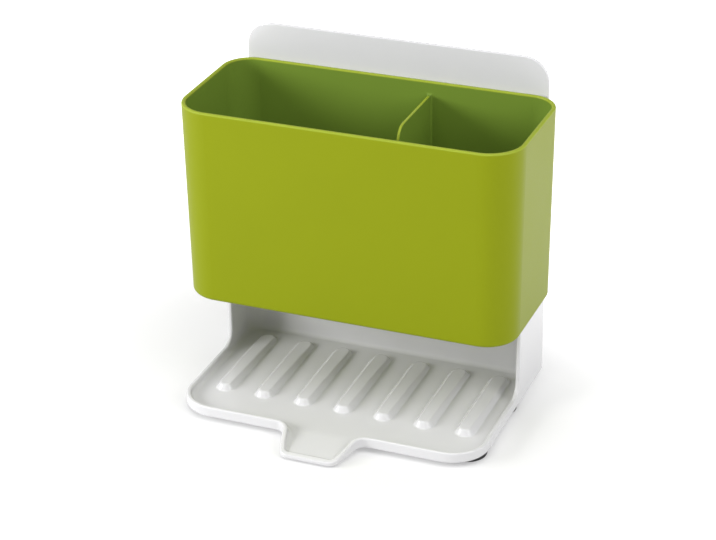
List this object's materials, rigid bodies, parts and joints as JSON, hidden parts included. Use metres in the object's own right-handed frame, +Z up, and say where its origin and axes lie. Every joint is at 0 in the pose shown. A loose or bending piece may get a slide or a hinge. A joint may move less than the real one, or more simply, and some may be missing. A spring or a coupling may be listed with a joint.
{
  "type": "kitchen sink caddy",
  "caption": "Kitchen sink caddy: an open divided tub that lifts off a moulded stand with a tall back, a ribbed draining tray and a pouring spout, on rubber feet.",
  "frame": {"origin": "on the ground under the middle of the whole object", "axes": "+X to the right as the caddy is used, +Y to the rear, away from the spout, +Z up"},
  "size_m": [0.23, 0.165, 0.229],
  "materials": {
    "stand": "white gloss",
    "tub": "lime green satin",
    "foot": "black matte"
  },
  "bodies": {
    "stand": {"stand": "stand", "front_left_foot": "foot", "front_right_foot": "foot", "middle_left_foot": "foot", "middle_right_foot": "foot", "rear_left_foot": "foot", "rear_right_foot": "foot"},
    "tub": {"tub": "tub"}
  },
  "joints": [
    {"name": "tub_lift", "type": "slide", "parent": "stand", "child": "tub", "axis": [0, 0, 1], "range_m": [0, 0.17]}
  ]
}
